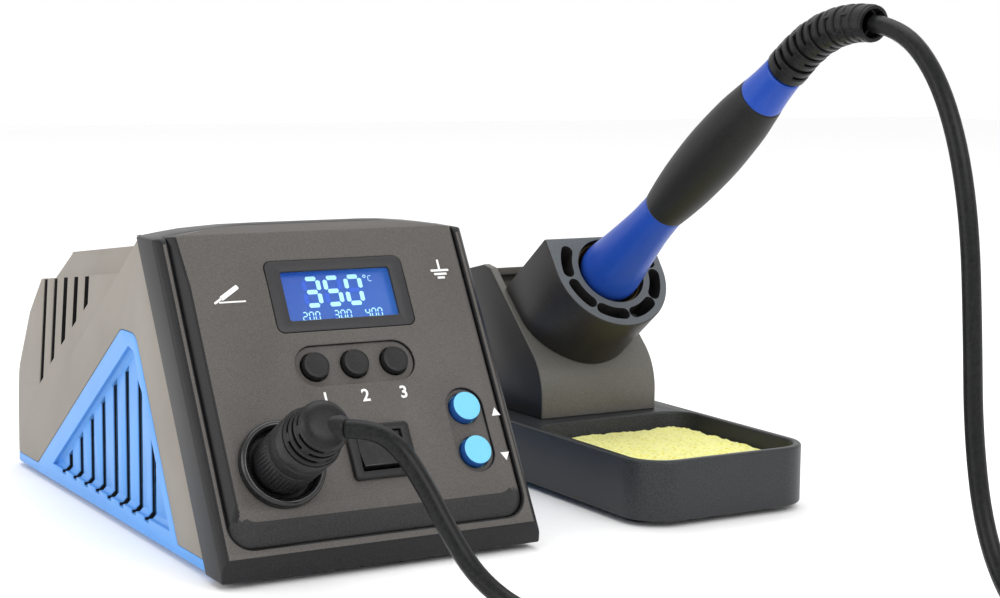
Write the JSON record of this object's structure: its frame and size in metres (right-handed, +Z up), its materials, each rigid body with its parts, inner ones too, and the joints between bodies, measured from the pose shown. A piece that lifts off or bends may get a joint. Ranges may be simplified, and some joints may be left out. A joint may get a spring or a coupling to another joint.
{
  "type": "soldering iron station",
  "caption": "Bench soldering station: wedge-shaped temperature control unit with sloping panel, iron on a flexible cord, and a holder with sponge tray.",
  "frame": {"origin": "on the bench, under the middle of the control unit, holder and iron together", "axes": "+X from the control unit towards the holder, +Y from the front panel to the rear, +Z up"},
  "size_m": [0.2154, 0.4268, 0.1667],
  "materials": {
    "case_taupe": "fine spark-textured moulded plastic",
    "frame_black": "smooth satin moulded plastic",
    "panel_grey": "fine grained moulded plastic",
    "base_blue": "satin moulded plastic",
    "bezel_grey": "satin moulded plastic",
    "window_clear": "clear polished window",
    "display_blue": "backlit liquid crystal glass",
    "button_blue": "satin silicone",
    "button_black": "satin moulded plastic",
    "switch_black": "polished moulded plastic",
    "insulator_black": "moulded thermoset",
    "contact_brass": "drawn",
    "board_green": "solder mask on glass fibre laminate",
    "component_black": "moulded epoxy",
    "screw_steel": "zinc plated",
    "core_steel": "varnished laminations",
    "winding_tape": "polyester tape over copper",
    "sink_aluminium": "extruded",
    "rear_black": "satin moulded plastic",
    "jack_steel": "nickel plated",
    "foot_rubber": "moulded rubber",
    "tray_charcoal": "satin powder coat",
    "tower_grey": "satin moulded heat-proof plastic",
    "block_charcoal": "satin powder coat",
    "sleeve_brass": "turned",
    "sponge_yellow": "open-cell cellulose sponge",
    "tip_plated": "iron plated and tinned",
    "barrel_steel": "turned",
    "heater_ceramic": "sintered alumina",
    "handle_black": "moulded heat-proof plastic",
    "collar_blue": "satin moulded plastic",
    "grip_rubber": "moulded silicone rubber",
    "plug_black": "black anodised",
    "cord_rubber": "extruded silicone rubber",
    "tie_black": "woven hook and loop strap"
  },
  "bodies": {
    "station": {"base_tray": "base_blue", "top_cover": "case_taupe", "front_frame": "frame_black", "front_panel": "panel_grey", "lcd_bezel": "bezel_grey", "lcd_window": "window_clear", "lcd_module": "display_blue", "rocker_housing": "switch_black", "socket_ring": "switch_black", "socket_shell": "insulator_black", "socket_contacts": "contact_brass", "display_board": "board_green", "tact_switches": "component_black", "panel_screws": "screw_steel", "main_board": "board_green", "board_screws": "screw_steel", "board_parts": "component_black", "heat_sink": "sink_aluminium", "transformer_core": "core_steel", "transformer_winding": "winding_tape", "rear_panel": "rear_black", "mains_inlet": "rear_black", "inlet_pins": "contact_brass", "inlet_screws": "screw_steel", "fuse_holder": "rear_black", "ground_jack": "jack_steel", "case_screws": "screw_steel", "station_feet": "foot_rubber", "stand_base": "tray_charcoal", "stand_tower": "tower_grey", "holder_block": "block_charcoal", "holder_sleeve": "sleeve_brass", "stand_screws": "screw_steel", "stand_feet": "foot_rubber", "cord_plug_side": "cord_rubber", "cord_iron_side": "cord_rubber", "cord_coil": "cord_rubber", "cord_tie": "tie_black"},
    "preset_button_1": {"preset_button_1": "button_black"},
    "preset_button_2": {"preset_button_2": "button_black"},
    "preset_button_3": {"preset_button_3": "button_black"},
    "up_button": {"up_button": "button_blue"},
    "down_button": {"down_button": "button_blue"},
    "rocker": {"rocker": "switch_black"},
    "plug": {"plug_shell": "plug_black", "plug_insert": "insulator_black", "plug_boot": "grip_rubber"},
    "plug_nut": {"plug_nut": "plug_black"},
    "iron": {"iron_tip": "tip_plated", "tip_barrel": "barrel_steel", "heater": "heater_ceramic", "handle_core": "handle_black", "handle_board": "board_green", "front_collar": "collar_blue", "grip": "grip_rubber", "rear_collar": "collar_blue", "cord_boot": "grip_rubber"},
    "barrel_nut": {"barrel_nut": "barrel_steel"},
    "sponge": {"sponge": "sponge_yellow"},
    "fuse_cap": {"fuse_cap": "rear_black"}
  },
  "joints": [
    {"name": "preset_button_1_press", "type": "slide", "parent": "station", "child": "preset_button_1", "axis": [0, 0.866, -0.5], "range_m": [0, 0.0008], "stiffness_N_per_m": 250, "springref_m": -0.002},
    {"name": "preset_button_2_press", "type": "slide", "parent": "station", "child": "preset_button_2", "axis": [0, 0.866, -0.5], "range_m": [0, 0.0008], "stiffness_N_per_m": 250, "springref_m": -0.002},
    {"name": "preset_button_3_press", "type": "slide", "parent": "station", "child": "preset_button_3", "axis": [0, 0.866, -0.5], "range_m": [0, 0.0008], "stiffness_N_per_m": 250, "springref_m": -0.002},
    {"name": "up_button_press", "type": "slide", "parent": "station", "child": "up_button", "axis": [0, 0.866, -0.5], "range_m": [0, 0.0008], "stiffness_N_per_m": 250, "springref_m": -0.002},
    {"name": "down_button_press", "type": "slide", "parent": "station", "child": "down_button", "axis": [0, 0.866, -0.5], "range_m": [0, 0.0008], "stiffness_N_per_m": 250, "springref_m": -0.002},
    {"name": "rocker_tilt", "type": "hinge", "parent": "station", "child": "rocker", "pos_m": [-0.05195, -0.0565, 0.03159], "axis": [1, 0, 0], "range_deg": [0, 14]},
    {"name": "plug_pull", "type": "slide", "parent": "station", "child": "plug", "axis": [0, -0.866, 0.5], "range_m": [0, 0.014], "deforming": ["cord_plug_side"]},
    {"name": "plug_nut_turn", "type": "hinge", "parent": "plug", "child": "plug_nut", "pos_m": [-0.08465, -0.0597, 0.03205], "axis": [0, -0.866, 0.5], "continuous": true},
    {"name": "iron_lift", "type": "slide", "parent": "station", "child": "iron", "axis": [0, -0.7955, 0.606], "range_m": [0, 0.1], "deforming": ["cord_iron_side"]},
    {"name": "barrel_nut_turn", "type": "hinge", "parent": "iron", "child": "barrel_nut", "pos_m": [0.07275, 0.00515, 0.0747], "axis": [0, -0.7955, 0.606], "continuous": true},
    {"name": "sponge_lift", "type": "slide", "parent": "station", "child": "sponge", "axis": [0, 0, 1], "range_m": [0, 0.03]},
    {"name": "fuse_cap_turn", "type": "hinge", "parent": "station", "child": "fuse_cap", "pos_m": [-0.02925, 0.11325, 0.036], "axis": [0, 1, 0], "range_deg": [0, 90]}
  ]
}
